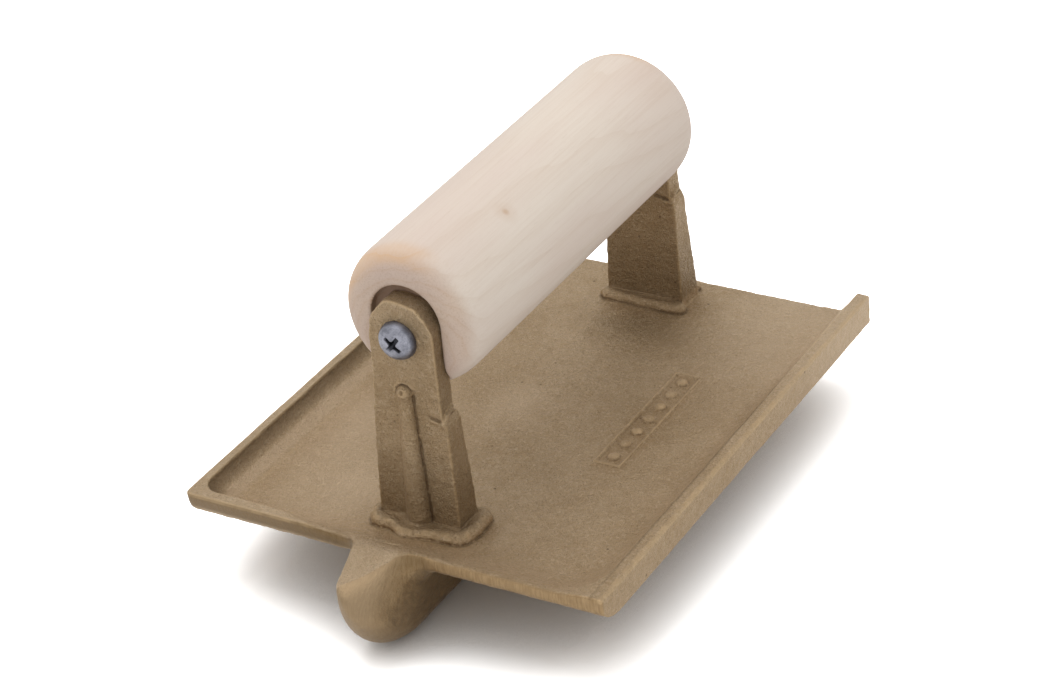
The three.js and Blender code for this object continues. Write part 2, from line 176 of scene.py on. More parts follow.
def gradient(shape, points, reach=0.04):
    """Value and slope of the shape at each point."""
    def part(chunk):
        slopes = [shape(*(chunk + shift).T) - shape(*(chunk - shift).T)
                  for shift in reach * np.eye(3)]
        return shape(*chunk.T), np.stack(slopes, 1) / (2 * reach)

    values, slopes = zip(*by_chunks(part, points))
    return np.concatenate(values), np.concatenate(slopes)


def normals_at(shape, points):
    slopes = gradient(shape, points)[1]
    return slopes / np.maximum(np.linalg.norm(slopes, axis=1, keepdims=True), 1e-6)


def sample_grid(shape, low, high, spacing, block, slack):
    """Sample block by block; a block far from the surface takes its centre value."""
    count = np.ceil((high - low) / spacing).astype(int) + 1
    count = (np.ceil(count / block) * block).astype(int)
    grid = np.empty(count, FLOAT)
    axes = [(low[i] + spacing * np.arange(count[i])).astype(FLOAT) for i in range(3)]
    blocks = count // block
    means = [axes[i].reshape(blocks[i], block).mean(1) for i in range(3)]
    centres = np.meshgrid(*means, indexing="ij")
    centre_values = shape(*(c.ravel() for c in centres)).reshape(blocks)
    reach = 0.5 * math.sqrt(3) * spacing * block * slack

    def fill(index):
        part = tuple(slice(i * block, (i + 1) * block) for i in index)
        centre = centre_values[index]
        if abs(centre) > reach:
            grid[part] = centre
        else:
            ticks = [axis[span] for axis, span in zip(axes, part)]
            grid[part] = shape(*np.meshgrid(*ticks, indexing="ij"))

    with ThreadPoolExecutor(4) as pool:
        list(pool.map(fill, list(np.ndindex(*blocks))))
    return grid


def mesh_shape(shape, low, high, spacing, block=20, slack=1.8):
    """Closed surface-nets mesh of the shape: points and quads."""
    low, high = np.array(low, float), np.array(high, float)
    grid = sample_grid(shape, low, high, spacing, block, slack)
    inside = grid < 0
    dims = tuple(n - 1 for n in grid.shape)
    count = np.zeros(dims, np.uint8)
    for corner in CORNERS:
        count += inside[tuple(slice(c, n + c) for c, n in zip(corner, dims))]
    cells = np.argwhere((count > 0) & (count < 8))
    flat = np.ravel_multi_index(tuple(cells.T), dims)

    # one point per crossed cell, the mean of the crossings on its edges
    values = np.stack([grid[tuple((cells + c).T)] for c in CORNERS], 1).astype(float)
    total = np.zeros((len(cells), 3))
    crossings = np.zeros(len(cells))
    for a, b in CELL_EDGES:
        va, vb = values[:, a], values[:, b]
        crossed = (va < 0) != (vb < 0)
        t = np.where(crossed, va / np.where(crossed, va - vb, 1), 0)
        hit = CORNERS[a] + t[:, None] * (CORNERS[b] - CORNERS[a])
        total += np.where(crossed[:, None], hit, 0)
        crossings += crossed
    points = low + spacing * (cells + total / crossings[:, None])

    # one quad per crossed grid edge, joining the four cells round it
    quads = []
    for axis in range(3):
        side, other = (axis + 1) % 3, (axis + 2) % 3
        span = [slice(1, -1)] * 3
        span[axis] = slice(None, -1)
        first = inside[tuple(span)]
        span[axis] = slice(1, None)
        change = np.argwhere(first != inside[tuple(span)])
        inside_first = first[tuple(change.T)]
        change[:, side] += 1
        change[:, other] += 1
        back_side, back_other = np.eye(3, dtype=int)[[side, other]]
        around = (change - back_side - back_other, change - back_other, change,
                  change - back_side)
        quad = np.stack([np.searchsorted(flat, np.ravel_multi_index(tuple(c.T), dims))
                         for c in around], 1)
        quads.append(np.where(inside_first[:, None], quad, quad[:, ::-1]))

    # pull the points onto the true surface
    for _ in range(2):
        value, slope = gradient(shape, points)
        move = (value / np.maximum((slope ** 2).sum(1), 0.05))[:, None] * slope
        length = np.linalg.norm(move, axis=1, keepdims=True)
        points = points - move * np.minimum(1, 0.7 * spacing / np.maximum(length, 1e-9))
    return points, np.concatenate(quads)


def make_object(name, points, quads, material, attributes):
    mesh = bpy.data.meshes.new(name)
    coords = ((points + ORIGIN_SHIFT) * 0.001).astype(FLOAT)
    mesh.vertices.add(len(coords))
    mesh.vertices.foreach_set("co", coords.ravel())
    mesh.loops.add(quads.size)
    mesh.loops.foreach_set("vertex_index", quads.ravel().astype(np.int32))
    mesh.polygons.add(len(quads))
    mesh.polygons.foreach_set("loop_start", (np.arange(len(quads)) * 4).astype(np.int32))
    mesh.update(calc_edges=True)
    mesh.validate()
    mesh.polygons.foreach_set("use_smooth", np.ones(len(mesh.polygons), bool))
    for key, values in attributes.items():
        attribute = mesh.attributes.new(key, "FLOAT", "POINT")
        attribute.data.foreach_set("value", np.asarray(values, FLOAT))
    mesh.materials.append(material)
    obj = bpy.data.objects.new(name, mesh)
    bpy.context.scene.collection.objects.link(obj)
    return obj


# ---------------------------------------------------------------- casting tables
# Outline of the upper part of a post (x, z), slightly out of true as cast.
HEAD_OUTLINE = np.array([
    (-9.70, 30.0), (-9.35, 40.0), (-8.95, 46.0), (-8.72, 56.0), (-8.15, 60.4), (-7.35, 62.3),
    (-5.95, 64.3), (-4.45, 66.0), (-3.5, 66.72), (-1.8, 67.05), (0.0, 67.08), (1.4, 66.92),
    (3.3, 66.5), (4.5, 66.2), (5.4, 65.75), (6.2, 65.0), (7.0, 64.05), (7.9, 62.8),
    (8.7, 61.5), (9.2, 60.4), (9.5, 59.3), (9.62, 56.3), (9.72, 43.0), (9.9, 30.0)])
# Plan outlines (x, y) of the cast beads round the feet of the posts.
NEAR_FOOT = np.array([
    (-14.4, -49.6), (-14.9, -57.2), (-14.2, -60.6), (-12.4, -62.6), (-9.6, -63.5), (-6.9, -63.5),
    (-4.2, -65.0), (-1.6, -65.8), (0.6, -65.5), (3.3, -64.6), (5.6, -63.9), (10.1, -63.4),
    (13.5, -62.9), (14.9, -60.4), (15.4, -55.6), (14.9, -49.4), (13.2, -47.4), (-12.8, -47.4)])
FAR_FOOT = np.array([
    (-13.0, 61.0), (-13.3, 59.0), (-11.4, 57.6), (-2.3, 57.1), (7.5, 56.7), (11.0, 57.0),
    (12.7, 57.8), (13.3, 59.2), (12.9, 60.6), (11.9, 61.4), (11.3, 63.0), (11.3, 72.4),
    (-12.0, 72.4), (-12.0, 63.0)])
# Where grinding stops on the prow and near rim: a row of x, a row of y.
SEAM = (
    [-8.0, -5.4, -3.7, -1.5, 0.27, 2.0, 4.6, 7.7, 12.0, 40.0],
    [-93.2, -90.6, -88.75, -86.7, -84.3, -81.9, -78.6, -76.6, -75.5, -75.6])
# Half widths of a post below its shoulder, and rib radius: a row of z, a row of sizes.
POST_RIGHT = [0, 5, 20, 29, 34.2, 35.6], [11.75, 11.5, 11.25, 11.1, 10.95, 10.35]
POST_LEFT = [0, 5, 18, 33, 35.5], [12.0, 11.6, 11.0, 10.0, 9.95]
RIB_RADIUS = [0, 8, 17, 25, 32, 41, 60], [3.9, 3.7, 3.3, 2.9, 2.5, 2.25, 2.2]

# face, foot_back, shoulder_back: y of the upright face and of the back at foot and shoulder
# middle: y about which the post is worked out; seed: its patch of noise
# rib_top, rib_inward: z of the rib's top and the sign of y going into the metal
# foot, flat: bead outline and how flattened the bead is
Post = namedtuple(
    "Post", "face foot_back shoulder_back middle seed rib_top rib_inward foot flat")
POSTS = (
    Post(NEAR_POST_Y, -49.6, -52.6, -56.0, 3.0, 44.2, 1.0, NEAR_FOOT, 0.0),
    Post(FAR_POST_Y, 70.3, 66.6, 64.5, 9.0, 35.0, -1.0, FAR_FOOT, 1.0))

# Low relief on the right of the floor: a framed blank panel with a row of pips.
PANEL_X, PANEL_Y = 29.1, 7.0
PANEL_HALF_X, PANEL_HALF_Y = 3.5, 22.9
PIP_PITCH, PIP_R, PIP_RISE = 6.4, 1.75, 1.05


# ---------------------------------------------------------------- sole and bit
def panel_relief(x, y):
    qx, qy = np.abs(x - PANEL_X) - PANEL_HALF_X, np.abs(y - PANEL_Y) - PANEL_HALF_Y
    box = np.hypot(np.maximum(qx, 0), np.maximum(qy, 0)) + np.minimum(np.maximum(qx, qy), 0)
    frame = 0.50 * step(0.70, 0.20, np.abs(box))
    index = np.clip(np.round((y - PANEL_Y) / PIP_PITCH), -3, 3)
    radius = np.hypot(x - PANEL_X, y - PANEL_Y - PIP_PITCH * index)
    pip = PIP_RISE * np.sqrt(np.clip(1 - (radius / PIP_R) ** 2, 0, 1))
    sunk = -0.10 * step(0.3, -0.3, box)
    return np.maximum(frame, pip) + sunk


def floor_height(x, y):
    z = FLOOR_Z + 0.15 * noise_a(x / 23 + 3.3, y / 27 + 1.7, 0 * x + 0.5)
    z = z + 0.06 * noise_b(x / 8.5, y / 9.5, 0 * x + 3.5) + 0.004 * x
    return z + panel_relief(x, y)


def hump(y, slope):
    """Cast top that climbs towards the plate's near end and falls away on the other side."""
    past = y + PLATE_Y
    return soft_min(RIM_Z + 0.323 * past, RIM_Z - slope * past, 3.4)


def crown(x):
    """Share of the crown across the near rim, 1 over the bit."""
    return np.exp(-((x + 1) / 8.0) ** 2)


def roll_off(x, y):
    """How far the ground side of the prow has rolled down past the seam."""
    past = (along(x, *SEAM) - y) * along(x, [4.6, 7.7, 12.0], [0.64, 0.86, 1.0])
    past = np.maximum(past, 0)
    soft = np.where(past < 6, past * past, 12 * past - 36)
    right = step(4.0, 8.5, x)
    side_fall = (x + 3.5) ** 2 * 0.022 * step(-76.0, -86.0, y) * (1 - right)
    return (1 - right) * 0.075 * soft + right * 1.2 * past + side_fall


def plate(x, y, z):
    # outer plan, a little wavy, with the near end leaning
    wave = 0.08 * noise_a(y / 13 + 5, 0 * y + 0.3, np.sign(x) * 3 + 0.5)
    wave = wave + 0.03 * noise_b(y / 3.8, 0 * y + 7.3, np.sign(x) + 4.5)
    dx = np.abs(x) - PLATE_X + wave + 0.62 * (x < 0) - 0.22 * (x > 0)
    dy = np.abs(y) - PLATE_Y + 0.07 * noise_a(x / 9 + 8, 0 * x + 4.4, 0 * x + 0.5)
    dy = dy + (0.11 + 0.07 * step(-8.0, -14.0, x)) * np.clip(RIM_Z - z, 0, 6) * (y < 0)
    plan = round_corner(dx, dy, np.where((x < 0) & (y < 0), 2.2, 0.45))
    # flat underside, curled up at the near end
    curl_y, curl_z = y + PLATE_Y - END_RUN, z - CURL_R
    curl = np.hypot(np.minimum(curl_y, 0), np.minimum(curl_z, 0)) - CURL_R
    under = np.where((curl_y < 0) & (curl_z < 0), curl, -z)
    top = z - RIM_Z - 0.75 * step(-20.0, 76.0, y) * (x > 0)
    top = top + 0.06 * noise_b(x / 6 + 2, y / 12 + 1, 0 * x + 2.5)
    top = top + CROWN_RISE * crown(x) * (y < 0)
    blank = soft_max(plan, under, 0.45 + 1.2 * step(10, -30, x))
    blank = soft_max(blank, top, 1.0 + 0.15 * step(-5, 5, x))
    # sunk tray: leaning walls, whose near one changes its lean from left to right
    right = step(-38.0, -11.0, x)
    edge = 0.16 * noise_a(y / 8.0 + 2.2, x / 9 + 1.1, 0 * x + np.sign(x) * 2 + 0.5)
    fall = np.clip(RIM_Z - z, 0, 6.1)
    lean = np.where(x < 0, 5.1 * (fall / 6.1) ** 1.55, fall * 0.836)
    side = (np.abs(x) - RIM_INNER_X + lean) / 1.27 + 0.8 * edge
    near_left = (-y - 72.6 + lean) / 1.27 + 0.8 * edge
    near_right = (-y - 75.9 - (z - RIM_Z) / 0.53) * 0.468
    wall = round_corner(side, lerp(near_left, near_right, right), 4.4 + 2.6 * right)
    fillet = 0.7 + 2.1 * step(74.0, 20.0, y)
    sunk = soft_max(wall, (floor_height(x, y) - z) * 0.95, fillet)
    return soft_max(blank, -sunk, 0.28 + 0.25 * (x > 0) + 2.2 * right * step(-70.0, -74.0, y))


def bit(x, y, z):
    x = x + 0.28 * step(-70.0, -80.0, y)
    # height above the keel, measured square to it round the prow
    round_prow = PROW_R - np.hypot(np.minimum(y - PROW_Y, 0), np.minimum(z - PROW_Z, 0))
    rise = np.where(y < PROW_Y, round_prow, z + BIT_DEPTH)
    flank = np.abs(x) - (KEEL_R + (BIT_ROOT_X - KEEL_R) * (rise - KEEL_R) / (BIT_DEPTH - KEEL_R))
    d = np.where(rise < KEEL_R, np.hypot(x, KEEL_R - rise) - KEEL_R, flank)
    lid = hump(y, 1.5) - roll_off(x, y)
    lid = np.where(y + PLATE_Y > 0, np.maximum(lid, 0.9), lid)
    d = soft_max(d, (z - lid) * 0.92, 1.6 + 3.6 * step(-4.0, 3.0, x))
    return soft_max(d, y - PLATE_Y, 1.2)


# ---------------------------------------------------------------- posts
def post_body(x, y, z, post):
    """Post with an upright near face and a back that tapers up to the shoulder."""
    face = post.face
    depth = y - face
    foot_depth, shoulder_depth = post.foot_back - face, post.shoulder_back - face
    above = step(SHOULDER_Z - 0.35, SHOULDER_Z + 0.35, z)
    taper = foot_depth + (shoulder_depth - foot_depth) * z / SHOULDER_Z
    back = lerp(taper, HEAD_THICK, above)
    low = np.maximum(x - along(z, *POST_RIGHT), -x - along(z, *POST_LEFT))
    low = np.maximum(low, z - SHOULDER_Z)
    high = np.maximum(polygon_distance(x, z, HEAD_OUTLINE), SHOULDER_Z - 4 - z)
    profile = soft_min(low, high, 0.35)
    ripple = 0.07 * noise_a(x / 7 + post.seed, y / 7, z / 9)
    ripple = ripple + 0.06 * noise_b(x / 4.2 + post.seed, y / 4.2, z / 1.5)
    slab = np.maximum(-depth, depth - back) + ripple * step(56.0, 44.0, z)
    d = soft_max(profile + ripple * step(52.0, 40.0, z), slab, 0.42)
    # mould joint: a crease on the face and a curl of flash round its right edge
    crease = segment_distance(x, y, z, (5.6, face, 36.3), (9.4, face, 35.4)) - 0.42
    d = soft_max(d, -crease, 0.5)
    lip = segment_distance(x, y, z, (6.6, face + 0.1, 35.2), (10.1, face + 0.2, 34.6)) - 0.42
    bend = (10.05, face + 1.8, 36.6)
    curl = np.minimum(
        segment_distance(x, y, z, (9.9, face + 0.4, 34.7), bend),
        segment_distance(x, y, z, bend, (9.7, face + 4.6, 37.6))) - 0.72
    return soft_min(soft_min(d, lip, 0.5), curl, 0.4)


def foot_bead(x, y, z, post):
    """Rolled bead of cast fillet round the foot of a post."""
    seed, flat = post.seed, post.flat
    rough = 0.42 * noise_a(x / 3.4 + seed, y / 3.4, 0 * x + 0.5)
    rough = (rough + 0.26 * noise_b(x / 1.5, y / 1.5 + seed, z / 3)) * (1 - 0.6 * flat)
    inward = -polygon_distance(x, y, post.foot) - 0.7 * rough
    radius = 2.1 - 0.35 * flat + 0.35 * rough
    tube = np.hypot(inward - radius, z - FLOOR_Z - 0.95 + 0.05 * flat) - radius
    bank = z - FLOOR_Z - 2.65 + 0.20 * flat - 0.4 * rough - 0.25 * np.maximum(inward - 2.6, 0)
    return soft_min(tube, np.maximum(bank * 0.95, radius - inward), 0.4)


def rib(x, z, deep, post):
    """Half round rib down the middle of the outer face, knobbed at its top."""
    top = post.rib_top
    radius = along(z, *RIB_RADIUS)
    body = np.hypot(x * 0.94, deep - 0.36 * radius) - radius
    body = body + 0.06 * noise_b(x / 2.0, z / 1.6, 0 * z + post.seed)
    cap = np.sqrt(x ** 2 + (deep - 0.35) ** 2 + (z - (top - 2.4)) ** 2) - 2.35
    ring = np.sqrt((np.hypot(x, z - (top - 2.2)) - 2.75) ** 2 + deep ** 2) - 0.42
    ring = np.maximum(ring, (top - 1.9) - z + 0.35 * x)
    dent = np.sqrt((x + 0.3) ** 2 + (deep + 2.0) ** 2 + (z - (top - 1.5)) ** 2) - 0.75
    knobbed = soft_min(soft_max(body, z - (top - 2.6), 0.6), cap, 0.3)
    return soft_max(np.minimum(knobbed, ring), -dent, 0.3)


def rib_groove(x, y, z, deep, post):
    """Sharp undercut crease down the right of the rib."""
    groove = np.hypot(x - along(z, *RIB_RADIUS), deep + 0.05)
    groove = groove - 0.26 - 0.08 * noise_b(x / 3, y / 3, z / 2.2)
    return np.maximum(np.maximum(groove, z - (post.rib_top - 2.5)), 5.0 - z)


def join_post(d, x, y, z, post):
    """Add a post, its rib and its bead to the distance d, then bore the screw hole."""
    surface = post.face
    if post.rib_inward < 0:
        surface = post.foot_back + (post.shoulder_back - post.foot_back) * z / SHOULDER_Z
    deep = (y - surface) * post.rib_inward
    upright = soft_min(post_body(x, y, z, post), rib(x, z, deep, post), 0.25)
    upright = soft_max(upright, -rib_groove(x, y, z, deep, post), 0.2)
    d = soft_min(d, np.maximum(upright, 0.6 - z), 0.8)
    d = soft_min(d, np.maximum(foot_bead(x, y, z, post), 0.6 - z), 0.22)
    ends = np.abs(y - (post.face + HEAD_THICK / 2)) - (HEAD_THICK / 2 + 2)
    hole = soft_max(np.hypot(x, z - SCREW_Z) - BORE_R, ends, 0.1)
    return soft_max(d, -hole, 0.3)


def casting(x, y, z):
    x, y, z = single(x, y, z)
    blend = 2.8 + 2.8 * step(-4.0, 9.0, x) * step(-60.0, -74.0, y)
    d = soft_min(plate(x, y, z), bit(x, y, z), blend)
    # trim the near end under the hump
    roof = hump(y, 0.53) + CROWN_RISE * (1 - crown(x)) - roll_off(x, y) + 0.08
    roof = np.maximum(roof, 0.9) + 12 * (step(-8.0, -13.0, x) + step(14.0, 22.0, x))
    roof = roof + 90 * step(-72.5, -69.0, y)
    d = soft_max(soft_max(d, (z - roof) * 0.9, 1.0), y - PLATE_Y, 0.3)
    shape = d.shape
    x, y, z, d = x.ravel(), y.ravel(), z.ravel(), d.ravel()
    for post in POSTS:
        close = (np.abs(y - post.middle) < 16) & (np.abs(x) < 24)
        # further off, a plain bound on the distance is enough
        across, lengthwise = np.abs(x) - 15, np.abs(y - post.middle) - 10
        away = np.maximum(np.hypot(np.maximum(across, 0), np.maximum(lengthwise, 0)), z - 70)
        d = np.where(close, d, np.minimum(d, np.maximum(away, 3.0)))
        if close.any():
            d[close] = join_post(d[close], x[close], y[close], z[close], post)
    return d.reshape(shape)


# ---------------------------------------------------------------- handle and screw
def handle(x, y, z):
    x, y, z = single(x, y, z)
    middle = (HANDLE_NEAR_Y + HANDLE_FAR_Y) / 2
    half = (HANDLE_FAR_Y - HANDLE_NEAR_Y) / 2
    u = np.abs(y - middle) - (half - NOSING_LENGTH)
    v = np.hypot(x, z - HANDLE_Z) - (HANDLE_R - NOSING_DEPTH)
    # bullnosed ends: a superellipse, its value divided by its slope
    uu, vv = np.maximum(u, 1e-6) / NOSING_LENGTH, np.maximum(v, 1e-6) / NOSING_DEPTH
    q = (uu ** NOSING_POWER + vv ** NOSING_POWER) ** (1 / NOSING_POWER)
    slope_u = (uu / q) ** (NOSING_POWER - 1) / NOSING_LENGTH
    slope_v = (vv / q) ** (NOSING_POWER - 1) / NOSING_DEPTH
    bullnose = (q - 1) / np.hypot(slope_u, slope_v)
    d = np.where((u > 0) & (v > 0), bullnose, np.maximum(u - NOSING_LENGTH, v - NOSING_DEPTH))
    d = d + 0.05 * noise_a(x / 16, y / 30, z / 16) + 0.018 * noise_b(x / 3, y / 14, z / 3)
    slot = np.where(z > POCKET_Z, np.hypot(x, z - POCKET_Z), np.abs(x)) - POCKET_R
    near_pocket = soft_max(slot, y - (NEAR_POST_Y + HEAD_THICK + 0.1), 0.3)
    far_pocket = soft_max(slot, (FAR_POST_Y - 0.1) - y, 0.3)
    d = soft_max(d, -np.minimum(near_pocket, far_pocket), 0.45)
    near_end = y - (NEAR_POST_Y + SCREW_LENGTH + 2)
    far_end = -(y - (FAR_POST_Y + HEAD_THICK - SCREW_LENGTH - 2))
    bore = soft_max(np.hypot(x, z - SCREW_Z) - BORE_R, np.minimum(near_end, far_end), 0.2)
    return soft_max(d, -bore, 0.2)


def screw_dome(radius, height):
    return np.sqrt(radius ** 2 + (height + DOME_DROP) ** 2) - (SCREW_HEAD_H + DOME_DROP)


def screw(x, y, z):
    """Pan head screw about x = z = 0, bearing face at y = 0, shank to +y."""
    x, y, z = single(x, y, z)
    r = np.hypot(x, z)
    height = -y                                # above the bearing face
    head = soft_max(r - SCREW_HEAD_R - 0.12, screw_dome(r, height), 1.9)
    head = soft_max(head, -height, 0.25)
    # cross recess, narrowing with depth
    cos, sin = math.cos(RECESS_TURN), math.sin(RECESS_TURN)
    u, v = x * cos + z * sin, -x * sin + z * cos
    depth = SCREW_HEAD_H - height

    def arm(lengthwise, across):
        return np.maximum(np.abs(lengthwise) - (2.85 - 0.72 * depth),
                          np.abs(across) - (0.56 - 0.06 * depth))

    recess = np.maximum(soft_min(arm(u, v), arm(v, u), 0.7), depth - 2.6)
    head = soft_max(head, -recess, 0.16)
    # helical thread of pitch 2.1 on a core of radius 1.65, plain under the head
    phase = y / 2.1 - np.arctan2(z, x) / (2 * math.pi)
    phase = phase - np.floor(phase)
    ridge = np.clip(1 - np.abs(phase - 0.5) / 0.24, 0, 1)
    taper = np.clip(0.08 + (SCREW_LENGTH - y) / 5.5, 0, 1)
    plain = step(2.4, 1.4, y)
    thread_r = (1.65 + (2.4 - 1.65) * ridge * (1 - plain) + 0.32 * plain) * taper
    shank = np.maximum((r - thread_r) * 0.55, np.maximum(y - SCREW_LENGTH, -y - 1.0))
    return np.minimum(head, shank)


# ---------------------------------------------------------------- shader wiring
def linear(colour):
    """Linear colour from 0-255 sRGB."""
    def channel(v):
        v /= 255
        return v / 12.92 if v <= 0.04045 else ((v + 0.055) / 1.055) ** 2.4
    return tuple(channel(v) for v in colour)


class Wiring:
    """Short calls for adding nodes to a tree; each returns an output socket."""

    def __init__(self, tree):
        self.tree = tree

    def new(self, kind):
        return self.tree.nodes.new("ShaderNode" + kind)

    def link(self, source, socket):
        if isinstance(source, (int, float)):
            socket.default_value = source
        elif isinstance(source, tuple):
            socket.default_value = (*source, 1.0)
        else:
            self.tree.links.new(source, socket)

    def math(self, operation, a, b=0.0):
        node = self.new("Math")
        node.operation = operation
        for value, socket in zip((a, b, 0.0), node.inputs):
            self.link(value, socket)
        return node.outputs[0]

    def scaled(self, source, scale):
        node = self.new("Mapping")
        self.link(source, node.inputs[0])
        node.inputs["Scale"].default_value = scale
        return node.outputs[0]

    def noise(self, source, scale, detail, rough):
        node = self.new("TexNoise")
        self.link(source, node.inputs["Vector"])
        node.inputs["Scale"].default_value = scale
        node.inputs["Detail"].default_value = detail
        node.inputs["Roughness"].default_value = rough
        return node.outputs["Fac"]

    def ramp(self, source, *stops):
        """Grey ramp; each stop is (position, level)."""
        node = self.new("ValToRGB")
        self.link(source, node.inputs[0])
        elements = node.color_ramp.elements
        while len(elements) < len(stops):
            elements.new(0.5)
        for element, (position, level) in zip(elements, stops):
            element.position = position
            element.color = (level, level, level, 1)
        return node.outputs[0]

    def mix(self, factor, a, b, mode="MIX"):
        node = self.new("Mix")
        node.data_type = "RGBA"
        node.blend_type = mode
        self.link(factor, node.inputs[0])
        self.link(a, node.inputs[6])
        self.link(b, node.inputs[7])
        return node.outputs[2]

    def coat(self, base, colour, mask, strength=None):
        """Lay an sRGB colour over base where mask is high."""
        if strength is not None:
            mask = self.math("MULTIPLY", mask, strength)
        return self.mix(mask, base, linear(colour))

    def attr(self, name):
        node = self.new("Attribute")
        node.attribute_name = name
        return node.outputs["Fac"]

    def bump(self, height, strength, distance, normal=None):
        node = self.new("Bump")
        self.link(height, node.inputs["Height"])
        self.link(strength, node.inputs["Strength"])
        node.inputs["Distance"].default_value = distance
        if normal is not None:
            self.link(normal, node.inputs["Normal"])
        return node.outputs[0]


class Material(Wiring):
    """A principled material; place is the object's coordinates in metres."""

    def __init__(self, name):
        self.material = bpy.data.materials.new(name)
        self.material.use_nodes = True
        super().__init__(self.material.node_tree)
        self.tree.nodes.clear()
        self.output = self.new("OutputMaterial")
        self.bsdf = self.new("BsdfPrincipled")
        self.link(self.bsdf.outputs[0], self.output.inputs[0])
        self.place = self.new("TexCoord").outputs["Object"]

    def millimetres(self):
        return self.scaled(self.place, (1000, 1000, 1000))

    def surface(self, inputs):
        for name, value in inputs.items():
            self.link(value, self.bsdf.inputs[name])


# ---------------------------------------------------------------- bronze
CAST_MID, CAST_PALE, CAST_BROWN = (178, 153, 120), (194, 170, 138), (157, 132, 99)
CAST_FLECK, CAST_SPECK = (220, 198, 168), (98, 80, 56)
GROUND_DARK, GROUND_PALE = (154, 127, 92), (184, 157, 120)
# painted light and painted shade colours
PAINTED_LIGHT_COLOUR, PAINTED_SHADE_COLOUR = (226, 204, 176), (84, 66, 40)
# rubbed wear with painted highlight; oxide with painted shade
RUBBED_AND_HIGHLIGHT, OXIDE_AND_SHADE, PIT = (214, 186, 146), (92, 72, 50), (70, 52, 34)


def bronze_material():
    g = Material("cast_bronze")
    mm = g.millimetres()
    ground = g.attr("ground")
    broad = g.noise(mm, scale=0.040, detail=3, rough=0.55)
    mid = g.noise(mm, scale=0.30, detail=4, rough=0.6)
    fine = g.noise(mm, scale=1.25, detail=4, rough=0.68)
    grit = g.noise(mm, scale=2.8, detail=3, rough=0.75)
    cast = g.coat(linear(CAST_MID), CAST_PALE, g.ramp(broad, (0.32, 0.0), (0.70, 1.0)))
    cast = g.coat(cast, CAST_BROWN, g.ramp(mid, (0.40, 0.0), (0.66, 1.0)), strength=0.30)
    cast = g.coat(cast, CAST_FLECK, g.ramp(fine, (0.50, 0.0), (0.66, 0.46)))
    cast = g.coat(cast, CAST_SPECK, g.ramp(grit, (0.33, 0.62), (0.47, 0.0)))
    # ground metal: drawn scratches, upright on the edges, square to x on the bit
    upright = g.noise(g.scaled(mm, (2.3, 2.3, 0.20)), scale=1.0, detail=4, rough=0.62)
    drawn = g.noise(g.scaled(mm, (3.4, 0.42, 0.42)), scale=1.0, detail=4, rough=0.62)
    choose = g.new("Mix")
    g.link(g.attr("polish"), choose.inputs[0])
    g.link(upright, choose.inputs[2])
    g.link(drawn, choose.inputs[3])
    scratch = choose.outputs[0]
    raw = g.coat(linear(GROUND_DARK), GROUND_PALE, g.ramp(scratch, (0.36, 0.0), (0.66, 1.0)))
    raw = g.coat(raw, CAST_BROWN, g.ramp(mid, (0.48, 0.0), (0.70, 0.45)))
    col = g.mix(ground, cast, raw)
    # painted light: paler floor patches, the prow's cast top and the foot of the left rim's inner
    # wall
    col = g.coat(col, PAINTED_LIGHT_COLOUR, g.attr("painted_light"), strength=0.30)
    # painted shade: the prow, the near end's front left of the bit, the posts, the floor before
    # the far post and the left rim's inner wall
    col = g.coat(col, PAINTED_SHADE_COLOUR, g.attr("painted_shade"), strength=0.62)
    # rubbed edges and painted highlights are brighter; creases hold oxide, and painted shade lies
    # round the panel's relief and in a line inside the right rim
    edge = g.math("MULTIPLY", g.ramp(g.attr("wear_and_highlight"), (0.16, 0.0), (0.40, 1.0)),
                  g.ramp(mid, (0.34, 0.25), (0.62, 0.85)))
    col = g.coat(col, RUBBED_AND_HIGHLIGHT, edge, strength=0.60)
    crease = g.ramp(g.attr("oxide_and_shade"), (0.22, 0.0), (0.80, 1.0))
    col = g.coat(col, OXIDE_AND_SHADE, crease, strength=0.55)
    # sparse dark pits
    cells = g.new("TexVoronoi")
    g.link(mm, cells.inputs["Vector"])
    cells.inputs["Scale"].default_value = 0.125
    pit = g.ramp(cells.outputs["Distance"], (0.030, 1.0), (0.060, 0.0))
    col = g.coat(col, PIT, pit, strength=0.6)
    rough = g.mix(ground, g.ramp(mid, (0.3, 0.37), (0.7, 0.47)),
                  g.ramp(scratch, (0.3, 0.38), (0.7, 0.52)))
    keep = g.math("SUBTRACT", 1.0, g.math("MULTIPLY", ground, 0.7))
    normal = g.bump(fine, strength=g.math("MULTIPLY", keep, 1.0), distance=0.00085)
    normal = g.bump(grit, g.math("MULTIPLY", keep, 1.0), distance=0.00042, normal=normal)
    normal = g.bump(scratch, g.math("MULTIPLY", ground, 0.55), distance=0.00014, normal=normal)
    normal = g.bump(pit, strength=-0.5, distance=0.0003, normal=normal)
    g.surface({"Base Color": col, "Metallic": 1.0, "Roughness": rough, "Normal": normal})
    return g.material


# ---------------------------------------------------------------- wood
WOOD_PALE, WOOD_PINK = (214, 202, 189), (208, 192, 180)
WOOD_GRAIN, WOOD_PORE = (188, 164, 142), (168, 144, 124)
END_PALE, END_GREY, END_RING, END_PORE = (
    (200, 180, 162), (192, 172, 160), (176, 140, 106), (150, 120, 96))
# the middle colour is painted shade inside the slots
WARM_TAN, SLOT_SHADE, KNOT_BROWN = (205, 168, 130), (128, 96, 70), (176, 140, 104)
KNOT = (10.8, -14.7, 95.2)                     # mm from the shared origin
KNOT_R = 4.0


